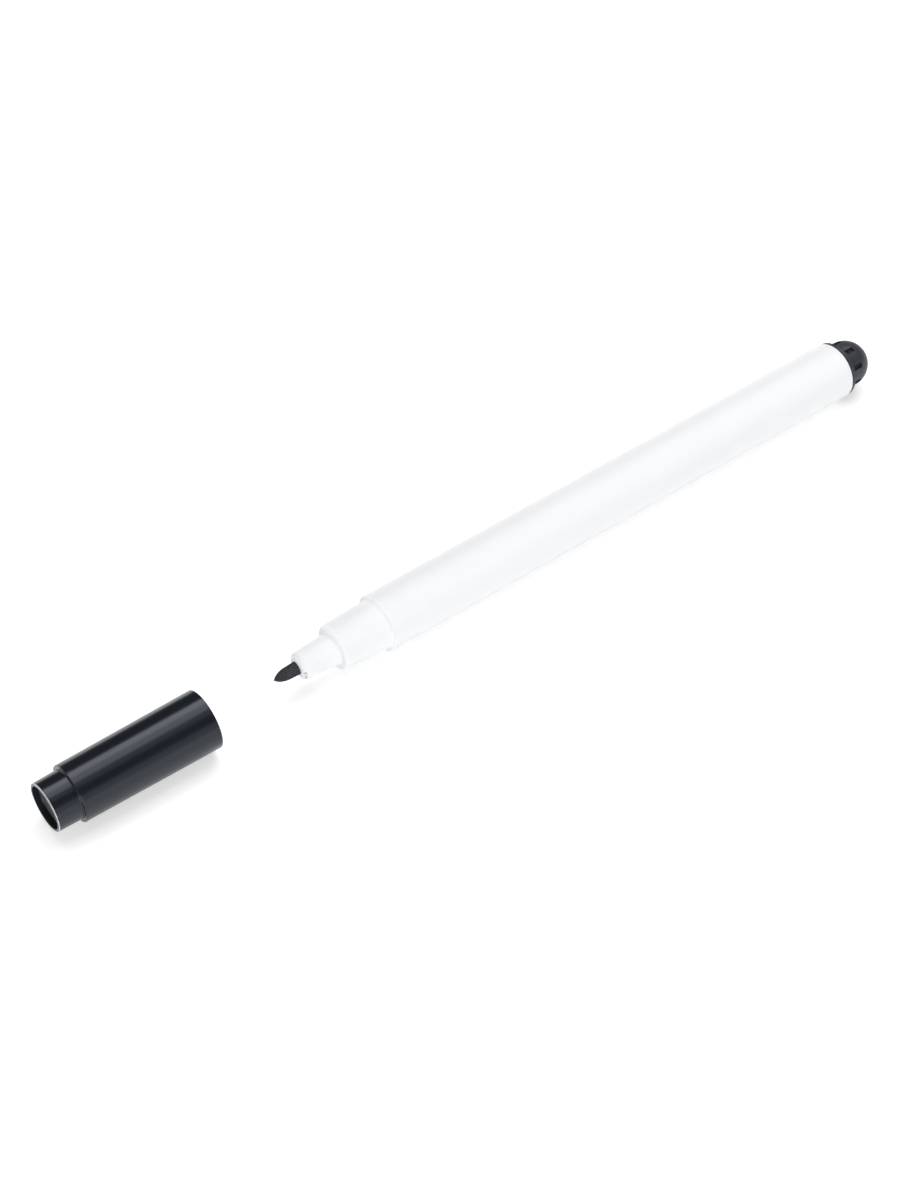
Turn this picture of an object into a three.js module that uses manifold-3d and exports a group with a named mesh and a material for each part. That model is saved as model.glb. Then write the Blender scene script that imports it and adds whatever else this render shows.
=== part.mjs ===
// Slim felt tip marker with its cap pulled off, lying on its side.
// Sizes are millimetres. +X runs along the barrel towards the tail, +Z is up.
// The origin lies on the ground under the middle of the marker and its cap.

import * as THREE from "three";
import { mergeVertices } from "three/addons/utils/BufferGeometryUtils.js";
import Module from "manifold-3d";

const wasm = await Module();
wasm.setup();

// Every round piece has the same number of flats, with one flat at the bottom.
const flats = 48;
const arc_steps = 3;

// Barrel: a tapered tube, widest at the tail.
const barrel_length = 103.77;
const barrel_front_diameter = 10.13;
const barrel_tail_diameter = 10.58;
const barrel_wall = 1.05;
const shoulder_round = 0.15;
const shoulder_fillet = 0.3;

// Nose: the cap's seat, then the nozzle that holds the nib.
const shoulder_step = 0.67;
const seat_length = 9.05;
const seat_taper = 0.28;
const seat_wall = 1.0;
const seat_round = 0.6;
const nozzle_length = 6.48;
const nozzle_wall = 1.34;
const nozzle_taper = 0.24;
const nozzle_fillet = 0.4;
const crown_length = 1.15;
const crown_drop = 0.22;
const lip_step = 0.1;
const collar_height = 0.5;

// The air vent is a slot just inside the lip, which runs back to the reservoir's chamber.
const vent_width = 0.8;
const vent_depth = 0.4;
const vent_angle = 86;

// Ribs inside the barrel keep the reservoir off the wall.
const rib_count = 4;
const rib_height = 0.4;
const rib_width = 0.8;
const rib_angle = 45;

// Nib: a fibre rod that narrows a little and ends in a bullet tip.
const nib_diameter = 2.3;
const nib_taper = 0.08;
const nib_reach = 4.38;
const nib_bullet_length = 2.7;
const nib_bullet_power = 1.5;
const nib_depth_in_core = 8.0;

// Reservoir: a fibre core in a film wrap.
const wrap_thickness = 0.15;
const core_recess = 0.4;

// Tail plug: a sealing stem, a flange and a domed knob with flutes.
const stem_length = 6.0;
const stem_wall = 0.9;
const stem_chamfer = 0.3;
const flange_set_back = 0.07;
const flange_thickness = 0.85;
const flange_round = 0.2;
const knob_straight = 2.14;
const knob_wall = 1.1;
const flute_count = 8;
const flute_width = 0.8;
const flute_depth = 0.6;
const flute_start = 0.75;
const flute_length = 1.9;
const flute_angle = 15;

// Cap: a tapered tube with a narrower open end.
const cap_length = 24.65;
const cap_mouth_wall = 0.73;
const cap_taper = 0.23;
const cap_wall = 0.75;
const cap_edge_round = 0.15;
const end_length = 4.43;
const end_step = 0.66;
const end_taper = 0.07;
const recess_depth = 1.2;
const recess_wall = 0.5;
const cap_floor = 1.1;
const sleeve_wall = 0.6;
const pocket_floor = 1.2;

// Where the cap lies, and the clearances between pieces.
const cap_distance = 33.63;
const seated_gap = 0.3;
const slide_clearance = 0.08;
const post_clearance = 0.14;
const press_clearance = 0.04;
const end_clearance = 0.3;

// Stations along the barrel, counted from the shoulder.
const seat_front = -seat_length;
const nozzle_front = seat_front - nozzle_length;
const collar_front = nozzle_front - collar_height;
const nib_tip = collar_front - nib_reach;

// Radii of the nose, which the cap's inside follows.
const seat_base_radius = barrel_front_diameter / 2 - shoulder_step;
const seat_front_radius = seat_base_radius - seat_taper;
const nib_radius = nib_diameter / 2;
const nib_bore_radius = nib_radius + press_clearance;
const nozzle_radius = nib_bore_radius + nozzle_wall;
const nozzle_base_radius = nozzle_radius + nozzle_taper;
const lip_radius = nozzle_radius - crown_drop;

// The reservoir lies between a step inside the shoulder and the plug's stem.
const bore_radius = barrel_front_diameter / 2 - barrel_wall;
const chamber_radius = seat_front_radius - seat_wall;
const wrap_radius = bore_radius - rib_height - press_clearance;
const core_radius = wrap_radius - wrap_thickness - press_clearance;
const bore_step = shoulder_round + seat_wall;
const stem_front = barrel_length - stem_length;
const wrap_front = bore_step + end_clearance;
const wrap_back = stem_front - end_clearance;
const core_front = wrap_front + core_recess;
const core_back = wrap_back - core_recess;

// The cap's stations are depths from its mouth, with the seat and nozzle inside.
const cap_total = cap_length + end_length;
const cap_bore_radius = seat_base_radius + slide_clearance;
const cap_mouth_radius = cap_bore_radius + cap_mouth_wall;
const cap_step_radius = cap_mouth_radius - cap_taper;
const end_base_radius = cap_step_radius - end_step;
const end_radius = end_base_radius - end_taper;
const seat_in_cap = seat_length - seated_gap;
const sleeve_mouth = seat_in_cap + nozzle_fillet + end_clearance;
const sleeve_radius = nozzle_base_radius + slide_clearance;
const cap_bore_floor = cap_total - recess_depth - cap_floor;
const pocket_end = cap_length - pocket_floor;

// The cap can be pushed over the knob, so the knob is a little narrower than the cap's bore.
const knob_radius = cap_bore_radius - post_clearance;
const flange_radius = barrel_tail_diameter / 2 - flange_set_back;
const knob_base = barrel_length + flange_thickness;
const dome_centre = knob_base + knob_straight;
const tail_end = dome_centre + knob_radius;

// The marker's place: centred along X, resting on its widest flat.
const widest_radius = Math.max(barrel_tail_diameter / 2, cap_mouth_radius);
const axis_height = widest_radius * Math.cos(Math.PI / flats);
const shoulder_x = (cap_distance + cap_total - tail_end) / 2;

// A profile point lies at a station along the axis and a radius from it.
function at(station, radius) {
  return new THREE.Vector2(radius, station);
}

// An arc in a profile. Angle 0 points along +X and 90 points outwards.
function arc(station, radius, round, from, to, steps = arc_steps) {
  const points = [];
  for (let i = 0; i <= steps; i++) {
    const angle = THREE.MathUtils.degToRad(from + ((to - from) * i) / steps);
    points.push(at(station + round * Math.cos(angle), radius + round * Math.sin(angle)));
  }
  return points;
}

// Turns a profile about the X axis, with flats at the top and bottom.
function turned(profile) {
  const geometry = new THREE.LatheGeometry(profile, flats, Math.PI / flats, 2 * Math.PI);
  geometry.rotateZ(-Math.PI / 2);
  return geometry;
}

// A closed profile ends where it starts.
function ring(profile) {
  return turned([...profile, profile[0].clone()]);
}

// A block along X at a radius, turned about the axis by an angle from +Z towards -Y.
function key(from, to, inner, outer, width, angle) {
  const geometry = new THREE.BoxGeometry(to - from, width, outer - inner);
  geometry.translate((from + to) / 2, 0, (inner + outer) / 2);
  geometry.rotateX(THREE.MathUtils.degToRad(angle));
  return geometry;
}

// Booleans work on closed meshes that hold nothing but positions.
function manifold(geometry) {
  const bare = geometry.clone();
  bare.deleteAttribute("normal");
  bare.deleteAttribute("uv");
  const merged = mergeVertices(bare, 0.00001);
  const index = merged.index.array;
  const corners = [];
  for (let i = 0; i < index.length; i += 3) {
    const [a, b, c] = [index[i], index[i + 1], index[i + 2]];
    if (a !== b && b !== c && c !== a) corners.push(a, b, c);
  }
  const mesh = new wasm.Mesh({
    numProp: 3,
    vertProperties: Float32Array.from(merged.attributes.position.array),
    triVerts: Uint32Array.from(corners),
  });
  return new wasm.Manifold(mesh);
}

function geometry_of(solid) {
  const mesh = solid.getMesh();
  const geometry = new THREE.BufferGeometry();
  geometry.setAttribute("position", new THREE.BufferAttribute(mesh.vertProperties, 3));
  geometry.setIndex(new THREE.BufferAttribute(mesh.triVerts, 1));
  geometry.computeVertexNormals();
  return geometry;
}

// One angle for each copy in a ring of equal copies.
function angles(count, first) {
  return Array.from({ length: count }, (_, i) => first + (360 * i) / count);
}

// A round or fillet takes no more than its share of the step that it is on.
function fitted(round, step, share) {
  return Math.min(round, step * share);
}

// The nozzle's last stretch curves in to its lip.
function crown() {
  const points = [];
  for (let i = arc_steps; i >= 0; i--) {
    const share = i / arc_steps;
    const radius = nozzle_radius - crown_drop * share * share;
    points.push(at(nozzle_front + crown_length * (1 - share), radius));
  }
  return points;
}

// The collar swells from the nib's bore to just inside the lip.
function collar() {
  const points = [];
  const width = lip_radius - lip_step - nib_bore_radius;
  for (let i = 0; i <= arc_steps; i++) {
    const angle = (Math.PI / 2) * (1 - i / arc_steps);
    const station = nozzle_front - collar_height * Math.sin(angle);
    points.push(at(station, nib_bore_radius + width * Math.cos(angle)));
  }
  return points;
}

function barrel_outside() {
  const front = barrel_front_diameter / 2;
  const nose_step = seat_front_radius - nozzle_base_radius;
  const edge = fitted(shoulder_round, shoulder_step, 0.5);
  const edge_fillet = fitted(shoulder_fillet, shoulder_step, 0.48);
  const nose_edge = fitted(seat_round, nose_step, 0.6);
  const nose_fillet = fitted(nozzle_fillet, nose_step, 0.38);
  return [
    ...collar(),
    ...crown(),
    ...arc(seat_front - nose_fillet, nozzle_base_radius + nose_fillet, nose_fillet, -90, 0),
    ...arc(seat_front + nose_edge, seat_front_radius - nose_edge, nose_edge, 180, 90),
    ...arc(-edge_fillet, seat_base_radius + edge_fillet, edge_fillet, -90, 0),
    ...arc(edge, front - edge, edge, 180, 90),
    at(barrel_length, barrel_tail_diameter / 2),
  ];
}

function barrel_inside() {
  const holder_end = seat_front + seat_wall;
  return [
    at(barrel_length, bore_radius),
    at(bore_step, bore_radius),
    at(bore_step, chamber_radius),
    at(holder_end + chamber_radius - nib_bore_radius, chamber_radius),
    at(holder_end, nib_bore_radius),
  ];
}

function barrel_geometry() {
  let solid = manifold(ring([...barrel_outside(), ...barrel_inside()]));
  const rib_start = bore_step - seat_wall / 2;
  const rib_top = bore_radius - rib_height;
  const rib_foot = bore_radius + rib_height / 2;
  for (const angle of angles(rib_count, rib_angle)) {
    const rib = key(rib_start, wrap_back, rib_top, rib_foot, rib_width, angle);
    solid = solid.add(manifold(rib));
  }
  const vent_top = lip_radius - lip_step;
  const vent_foot = vent_top - vent_depth;
  const vent_mouth = collar_front - vent_depth;
  const vent_end = seat_front + seat_wall + vent_top - nib_bore_radius + vent_depth;
  const vent = key(vent_mouth, vent_end, vent_foot, vent_top, vent_width, vent_angle);
  return geometry_of(solid.subtract(manifold(vent)));
}

// The nib narrows from the collar to its bullet tip, which a higher power makes more pointed.
function nib_geometry() {
  const profile = [];
  const steps = 4 * arc_steps;
  const bullet_radius = nib_radius - nib_taper;
  for (let i = 0; i <= steps; i++) {
    const angle = (Math.PI / 2) * (i / steps);
    const station = nib_tip + nib_bullet_length * (1 - Math.cos(angle));
    profile.push(at(station, bullet_radius * Math.pow(Math.sin(angle), nib_bullet_power)));
  }
  const back = core_front + nib_depth_in_core;
  profile.push(at(collar_front, nib_radius));
  profile.push(at(back, nib_radius));
  profile.push(at(back, 0));
  return turned(profile);
}

// The core is a rod with the hole that the nib makes in its front.
function core_geometry() {
  const hole_end = core_front + nib_depth_in_core + end_clearance;
  const hole_radius = nib_radius + press_clearance;
  return turned([
    at(hole_end, 0),
    at(hole_end, hole_radius),
    at(core_front, hole_radius),
    at(core_front, core_radius),
    at(core_back, core_radius),
    at(core_back, 0),
  ]);
}

function wrap_geometry() {
  return ring([
    at(wrap_front, wrap_radius - wrap_thickness),
    at(wrap_front, wrap_radius),
    at(wrap_back, wrap_radius),
    at(wrap_back, wrap_radius - wrap_thickness),
  ]);
}

// The plug is hollow from the stem's front to the dome.
function plug_geometry() {
  const stem = bore_radius - press_clearance;
  const hollow = stem - stem_wall;
  const crest = Math.min(hollow, knob_radius - knob_wall);
  const rounding = fitted(flange_round, flange_thickness, 0.4);
  const flange_front = barrel_length + press_clearance;
  let solid = manifold(turned([
    ...arc(dome_centre, 0, crest, 0, 90, 2 * arc_steps),
    at(stem_front, hollow),
    at(stem_front, stem - stem_chamfer),
    at(stem_front + stem_chamfer, stem),
    at(flange_front, stem),
    at(flange_front, flange_radius),
    ...arc(knob_base - rounding, flange_radius - rounding, rounding, 90, 0, 2),
    at(knob_base, knob_radius),
    ...arc(dome_centre, 0, knob_radius, 90, 0, 3 * arc_steps),
  ]));
  const flute_foot = knob_radius - flute_depth;
  const flute_front = knob_base + flute_start;
  const flute_end = flute_front + flute_length;
  for (const angle of angles(flute_count, flute_angle)) {
    const flute = key(flute_front, flute_end, flute_foot, 2 * knob_radius, flute_width, angle);
    solid = solid.subtract(manifold(flute));
  }
  return geometry_of(solid);
}

// The cap lies with its mouth towards the nib and its narrow end towards -X.
function cap_geometry() {
  const mouth = -cap_distance;
  const step = mouth - cap_length;
  const end = mouth - cap_total;
  const edge = cap_edge_round;
  const recess_radius = end_radius - recess_wall;
  const sleeve_outside = sleeve_radius + sleeve_wall;
  const pocket_radius = cap_step_radius - cap_wall;
  return turned([
    at(end + recess_depth, 0),
    at(end + recess_depth, recess_radius),
    at(end, recess_radius),
    ...arc(end + edge, end_radius - edge, edge, 180, 90),
    at(step, end_base_radius),
    ...arc(step + edge, cap_step_radius - edge, edge, 180, 90),
    ...arc(mouth - edge, cap_mouth_radius - edge, edge, 90, 0),
    at(mouth, cap_bore_radius + edge),
    at(mouth - edge, cap_bore_radius),
    at(mouth - seat_in_cap, cap_bore_radius),
    at(mouth - sleeve_mouth, pocket_radius),
    at(mouth - pocket_end, pocket_radius),
    at(mouth - pocket_end, sleeve_outside),
    at(mouth - sleeve_mouth, sleeve_outside),
    at(mouth - sleeve_mouth, sleeve_radius),
    at(mouth - cap_bore_floor, sleeve_radius),
    at(mouth - cap_bore_floor, 0),
  ]);
}

function piece(name, geometry, color, roughness) {
  const material = new THREE.MeshStandardMaterial({ color, roughness, metalness: 0 });
  const mesh = new THREE.Mesh(geometry, material);
  mesh.name = name;
  return mesh;
}

const marker = new THREE.Group();
marker.position.set(shoulder_x, 0, axis_height);
marker.add(piece("barrel", barrel_geometry(), "#f1f3f6", 0.4));
marker.add(piece("nib", nib_geometry(), "#2b2c30", 0.95));
marker.add(piece("reservoir_core", core_geometry(), "#4a4d57", 1.0));
marker.add(piece("reservoir_wrap", wrap_geometry(), "#dfe3e6", 0.3));
marker.add(piece("tail_plug", plug_geometry(), "#2c2f34", 0.35));
marker.add(piece("cap", cap_geometry(), "#22262b", 0.25));

export default marker;
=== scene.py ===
# %% [markdown]
# # A slim felt tip marker, made piece by piece
#
# This lesson makes a slim marker that lies on a white table with its cap pulled off. Every piece
# of the real one is round: it was moulded in a turned steel mould, or pressed from fibre. So the
# main tool is a profile that is turned about one axis. Geometry Nodes make what repeats: the
# flutes of the tail knob, the ribs inside the barrel and the fibres of the ink store.
#
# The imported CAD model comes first. It is the fixed frame: each piece here takes its place from the
# box of the CAD node that it stands for.

# %% Load the frame
from math import cos, hypot, pi, radians, sin

import bmesh
import bpy
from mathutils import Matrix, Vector


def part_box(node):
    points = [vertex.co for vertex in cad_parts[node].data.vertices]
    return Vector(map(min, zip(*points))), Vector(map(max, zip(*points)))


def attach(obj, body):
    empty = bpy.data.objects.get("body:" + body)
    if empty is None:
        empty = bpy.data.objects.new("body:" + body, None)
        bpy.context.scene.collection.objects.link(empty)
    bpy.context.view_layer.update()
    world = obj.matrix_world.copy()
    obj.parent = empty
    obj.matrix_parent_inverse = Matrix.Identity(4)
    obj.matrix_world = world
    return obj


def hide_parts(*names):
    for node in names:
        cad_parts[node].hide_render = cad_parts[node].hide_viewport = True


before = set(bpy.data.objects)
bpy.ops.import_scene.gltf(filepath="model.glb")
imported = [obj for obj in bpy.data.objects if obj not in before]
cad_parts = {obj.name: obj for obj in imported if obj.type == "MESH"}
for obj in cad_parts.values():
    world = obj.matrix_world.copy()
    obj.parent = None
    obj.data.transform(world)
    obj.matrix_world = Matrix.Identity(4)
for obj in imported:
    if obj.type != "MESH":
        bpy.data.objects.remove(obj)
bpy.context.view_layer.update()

MM = 0.001

# %% [markdown]
# ## Sizes from the frame
#
# The axis of the marker runs along X. Stations are millimetres along it, and radii are measured
# from it. The CAD model has flat sides, so its box gives the radius to the middle of a flat, and
# the smooth pieces here use that radius. They then lie on the table as the flats do, and keep the
# clearances that the flats have. `to_flat` does the same for a radius that no box gives.

# %% Read the stations and radii of each node
FLATS = 48


def reach(node):
    """The first and last station of a CAD node, and its largest radius, in millimetres."""
    low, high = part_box(node)
    return low.x / MM, high.x / MM, (high.z - low.z) / 2 / MM


def to_flat(radius):
    """The distance from the axis to the middle of a flat."""
    return radius * cos(pi / FLATS)


low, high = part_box("barrel")
AXIS_HEIGHT = (low.z + high.z) / 2 / MM
collar_front, tail_face, tail_radius = reach("barrel")
nib_tip, nib_back, nib_radius = reach("nib")
core_front, core_back, core_radius = reach("reservoir_core")
wrap_front, wrap_back, wrap_radius = reach("reservoir_wrap")
stem_front, knob_end, flange_radius = reach("tail_plug")
cap_end, cap_mouth, cap_mouth_radius = reach("cap")
print("axis height %.2f mm, barrel %.1f mm" % (AXIS_HEIGHT, tail_face - collar_front))

# %% [markdown]
# ## Turning a profile
#
# A lathe in code needs a few helpers. `arc` gives the points of a rounded edge. `supported` puts a
# point close to both ends of each long straight run. Smooth shading blends the normals between two
# rings, and these close rings keep that blend inside the edge, so a long plain surface stays plain
# in its reflections. `turned` makes a ring of vertices at each point and closes the poles. `mark`
# stores a number at each vertex, so that a material can pick out places: the cap's rim, which takes
# a painted highlight, the dusty floor of the cap's recess, and the flute floors, which take painted
# shade.

# %% Profile helpers
AROUND = 192
SUPPORT = 0.03
LONG_RUN = 8 * SUPPORT
ON_THE_AXIS = SUPPORT / 100
SHARP = radians(35)


def arc(station, radius, size, start, end, steps=8):
    """Points on an arc. Angle 0 points along +X and 90 points away from the axis."""
    points = []
    for i in range(steps + 1):
        angle = radians(start + (end - start) * i / steps)
        points.append((station + size * cos(angle), radius + size * sin(angle)))
    return points


def supported(profile):
    """The profile with a close point at both ends of each long straight run."""
    points = [profile[0]]
    for (x0, r0), (x1, r1) in zip(profile, profile[1:]):
        run = ((x1 - x0) ** 2 + (r1 - r0) ** 2) ** 0.5
        if run > LONG_RUN:
            share = SUPPORT / run
            points.append((x0 + (x1 - x0) * share, r0 + (r1 - r0) * share))
            points.append((x1 + (x0 - x1) * share, r1 + (r0 - r1) * share))
        points.append((x1, r1))
    return points


def circle(mesh, station, radius, around):
    """One ring of vertices, or a single one where the profile meets the axis."""
    if radius < ON_THE_AXIS:
        return [mesh.verts.new((station * MM, 0, AXIS_HEIGHT * MM))] * around
    ring = []
    for i in range(around):
        angle = 2 * pi * i / around
        y = -radius * sin(angle)
        z = AXIS_HEIGHT + radius * cos(angle)
        ring.append(mesh.verts.new((station * MM, y * MM, z * MM)))
    return ring


def finished(name, mesh):
    """An object made from a bmesh, smooth, with its faces pointing out."""
    bmesh.ops.recalc_face_normals(mesh, faces=mesh.faces)
    data = bpy.data.meshes.new(name)
    mesh.to_mesh(data)
    mesh.free()
    data.polygons.foreach_set("use_smooth", [True] * len(data.polygons))
    made = bpy.data.objects.new(name, data)
    bpy.context.scene.collection.objects.link(made)
    return made


def turned(name, profile, around=AROUND):
    """A closed solid made by turning a profile about the axis of the marker."""
    mesh = bmesh.new()
    open_ended = min(profile[0][1], profile[-1][1]) > SUPPORT
    points = supported(profile + profile[:1] if open_ended else profile)
    rings = [circle(mesh, x, r, around) for x, r in (points[:-1] if open_ended else points)]
    if open_ended:
        rings.append(rings[0])
    for ring, following in zip(rings, rings[1:]):
        for i in range(around):
            j = (i + 1) % around
            corners = [ring[i], ring[j], following[j], following[i]]
            mesh.faces.new(dict.fromkeys(corners))
    return finished(name, mesh)


def mark(piece, name, share):
    """Stores at each vertex what a function gives for its station and its radius."""
    layer = piece.data.attributes.new(name, "FLOAT", "POINT")
    for vert, stored in zip(piece.data.vertices, layer.data):
        x, y, z = vert.co / MM
        stored.value = share(x, hypot(y, z - AXIS_HEIGHT))


print("vertices in a ring:", AROUND)

# %% [markdown]
# ## Nodes in one line
#
# Materials and Geometry Nodes are both trees of nodes. One small function adds a node, sets its
# properties, and sets or links its inputs. Colours are written as sRGB hex values, as a colour
# picker shows them, and one function turns them into the linear numbers that a shader needs.

# %% Node and colour helpers


def add(tree, kind, inputs=None, **settings):
    """Adds a node to a tree. Each input is a value, or the output socket that feeds it."""
    made = tree.nodes.new(kind)
    for name, value in settings.items():
        setattr(made, name, value)
    for name, value in (inputs or {}).items():
        if isinstance(value, bpy.types.NodeSocket):
            tree.links.new(value, made.inputs[name])
        else:
            made.inputs[name].default_value = value
    return made


def compute(tree, operation, *values):
    """One Math node: each value is a number or the socket that feeds it."""
    inputs = dict(enumerate(values))
    return add(tree, "ShaderNodeMath", inputs, operation=operation).outputs[0]


def linear(colour):
    """An sRGB hex colour as linear red, green, blue and alpha."""
    shares = [int(colour[i:i + 2], 16) / 255 for i in (1, 3, 5)]
    return [s / 12.92 if s <= 0.04045 else ((s + 0.055) / 1.055) ** 2.4 for s in shares] + [1]


def per_metre(size):
    """The texture scale that gives a pattern this size in millimetres."""
    return 1 / (size * MM)


def new_material(name):
    """An empty material, its tree, and the Object coordinates that its patterns follow."""
    made = bpy.data.materials.new(name)
    made.use_nodes = True
    made.node_tree.nodes.clear()
    place = add(made.node_tree, "ShaderNodeTexCoord").outputs["Object"]
    return made, made.node_tree, place


def surface(tree, shader):
    """Ends a material in its output."""
    add(tree, "ShaderNodeOutputMaterial", {"Surface": shader.outputs[0]})


print("mid grey is %.3f in linear light" % linear("#808080")[0])

# %% [markdown]
# ## White moulded polypropylene
#
# The barrel is polypropylene, moulded in a polished tool. It is a soft, slightly waxy white with a
# satin gloss. Up close the skin has a very fine orange peel, about a third of a millimetre from
# hill to hill, and faint clouds where the melt flowed. A little light goes into the plastic and
# comes out again, which softens the edge of each shadow.

# %% White polypropylene
WHITE = "#f5f6f8"
WHITE_CLOUD = "#f1f2f4"
CLOUD_SIZE = 14
PEEL_SIZE = 0.35
PEEL_DEPTH = 0.01
PEEL_STRENGTH = 0.3
PLASTIC_IOR = 1.49
LIGHT_LET_IN = 0.08
LIGHT_DEPTH = 0.6


def white_polypropylene():
    made, tree, place = new_material("white_moulded_polypropylene")
    cloud = add(
        tree,
        "ShaderNodeTexNoise",
        {"Vector": place, "Scale": per_metre(CLOUD_SIZE), "Detail": 3},
    )
    tint = add(
        tree,
        "ShaderNodeMix",
        {0: cloud.outputs["Fac"], 6: linear(WHITE), 7: linear(WHITE_CLOUD)},
        data_type="RGBA",
    )
    peel = add(
        tree,
        "ShaderNodeTexNoise",
        {"Vector": place, "Scale": per_metre(PEEL_SIZE), "Detail": 2},
    )
    gloss = add(
        tree,
        "ShaderNodeMapRange",
        {"Value": cloud.outputs["Fac"], "To Min": 0.44, "To Max": 0.52},
    )
    skin = add(
        tree,
        "ShaderNodeBump",
        {
            "Height": peel.outputs["Fac"],
            "Strength": PEEL_STRENGTH,
            "Distance": PEEL_DEPTH * MM,
        },
    )
    plastic = add(
        tree,
        "ShaderNodeBsdfPrincipled",
        {
            "Base Color": tint.outputs[2],
            "Roughness": gloss.outputs["Result"],
            "Normal": skin.outputs["Normal"],
            "IOR": PLASTIC_IOR,
            "Specular IOR Level": 0.3,
            "Subsurface Weight": LIGHT_LET_IN,
            "Subsurface Radius": (1, 1, 1),
            "Subsurface Scale": LIGHT_DEPTH * MM,
        },
    )
    surface(tree, plastic)
    return made


white_plastic = white_polypropylene()
print("material:", white_plastic.name)

# %% [markdown]
# ## Black moulded polypropylene
#
# The cap and the plug are the same plastic, coloured with carbon black, which leaves a trace of
# blue. The cap comes from a mirror polished tool and is glossy. The plug's tool is less polished,
# so its knob has a satin look. Handling draws hair-fine scuffs, mostly along the marker, and they
# show as small changes in roughness and not in colour. The outer round of the cap's end rim is
# painted pale as a highlight, and that thin line draws the opening. Grey dust lies on the floor of
# the cap's recess, and the floors of the knob's flutes are painted dark as shade. One function makes
# both plastics, since only numbers and colours differ.

# %% Black polypropylene
# Painted highlight: the pale colour on the outer round of the cap's end rim.
RIM_HIGHLIGHT = "#d6dfe8"
DUST = "#524d47"
# Painted shade: the darker colour on the floors of the knob's flutes.
FLUTE_SHADE = "#1d2025"
BLUE_SHEEN = "#eef4ff"
PATCH_SIZE = 0.6
SCUFF_SIZE = 0.12
SCUFF_STRETCH = (0.04, 1, 1)
BLACK_CLOUD_SIZE = 9
BLACK_CLOUD_LIFT = 1.12
BLACK_PEEL_SIZE = 0.5


def black_polypropylene(name, colour, dust_and_shade_colour, smoothest, roughest, peel_depth):
    made, tree, place = new_material(name)
    rim = add(tree, "ShaderNodeAttribute", attribute_name="painted_highlight").outputs["Fac"]
    hollow = add(tree, "ShaderNodeAttribute", attribute_name="dust_and_shade").outputs["Fac"]
    patch = add(
        tree,
        "ShaderNodeTexNoise",
        {"Vector": place, "Scale": per_metre(PATCH_SIZE), "Detail": 3},
    )
    uneven = add(
        tree,
        "ShaderNodeMapRange",
        {"Value": patch.outputs["Fac"], "From Min": 0.2, "From Max": 0.6, "To Min": 0.4},
    )
    painted_highlight = compute(tree, "MULTIPLY", rim, uneven.outputs["Result"])
    dust_and_shade = compute(tree, "MULTIPLY", hollow, uneven.outputs["Result"])
    along = add(tree, "ShaderNodeMapping", {"Vector": place, "Scale": SCUFF_STRETCH})
    scuff = add(
        tree,
        "ShaderNodeTexNoise",
        {"Vector": along.outputs["Vector"], "Scale": per_metre(SCUFF_SIZE), "Detail": 4},
    )
    gloss = add(
        tree,
        "ShaderNodeMapRange",
        {
            "Value": scuff.outputs["Fac"],
            "From Min": 0.35,
            "From Max": 0.75,
            "To Min": smoothest,
            "To Max": roughest,
        },
    )
    cloud = add(
        tree,
        "ShaderNodeTexNoise",
        {"Vector": place, "Scale": per_metre(BLACK_CLOUD_SIZE), "Detail": 2},
    )
    deep = linear(colour)
    light = [channel * BLACK_CLOUD_LIFT for channel in deep[:3]] + [1]
    body = add(
        tree,
        "ShaderNodeMix",
        {0: cloud.outputs["Fac"], 6: deep, 7: light},
        data_type="RGBA",
    )
    # Mixes the painted highlight into the cap's end rim.
    pale = add(
        tree,
        "ShaderNodeMix",
        {0: painted_highlight, 6: body.outputs[2], 7: linear(RIM_HIGHLIGHT)},
        data_type="RGBA",
    )
    # Mixes in the hollows' colour: dust on the cap's recess floor, painted shade on the plug's flute
    # floors.
    tint = add(
        tree,
        "ShaderNodeMix",
        {0: dust_and_shade, 6: pale.outputs[2], 7: linear(dust_and_shade_colour)},
        data_type="RGBA",
    )
    peel = add(
        tree,
        "ShaderNodeTexNoise",
        {"Vector": place, "Scale": per_metre(BLACK_PEEL_SIZE), "Detail": 2},
    )
    skin = add(
        tree,
        "ShaderNodeBump",
        {
            "Height": peel.outputs["Fac"],
            "Strength": PEEL_STRENGTH,
            "Distance": peel_depth * MM,
        },
    )
    plastic = add(
        tree,
        "ShaderNodeBsdfPrincipled",
        {
            "Base Color": tint.outputs[2],
            "Roughness": compute(tree, "MAXIMUM", gloss.outputs["Result"], dust_and_shade),
            "Normal": skin.outputs["Normal"],
            "IOR": PLASTIC_IOR,
            "Specular IOR Level": 0.45,
            "Specular Tint": linear(BLUE_SHEEN),
        },
    )
    surface(tree, plastic)
    return made


print("scuffs: %.2f mm wide" % SCUFF_SIZE)

# %% The cap's gloss black and the plug's satin black
cap_plastic = black_polypropylene(
    "gloss_black_polypropylene",
    colour="#191d23",
    dust_and_shade_colour=DUST,
    smoothest=0.18,
    roughest=0.25,
    peel_depth=0.006,
)
plug_plastic = black_polypropylene(
    "satin_black_polypropylene",
    colour="#303238",
    dust_and_shade_colour=FLUTE_SHADE,
    smoothest=0.45,
    roughest=0.55,
    peel_depth=0.012,
)
print("materials:", cap_plastic.name, plug_plastic.name)

# %% [markdown]
# ## Felt, fibre and film
#
# The nib is a rod of acrylic fibres, bonded with resin and ground to a bullet tip. Soaked in black
# ink it is matt and nearly black, with fine grey streaks along the fibres where it is dry. The ink
# store behind it is a loose bundle of polyester fibres in a sleeve of clear film.

# %% Fibre
FIBRE_STRETCH = (0.12, 1, 1)
TUFT_RELIEF = 0.3


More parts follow.
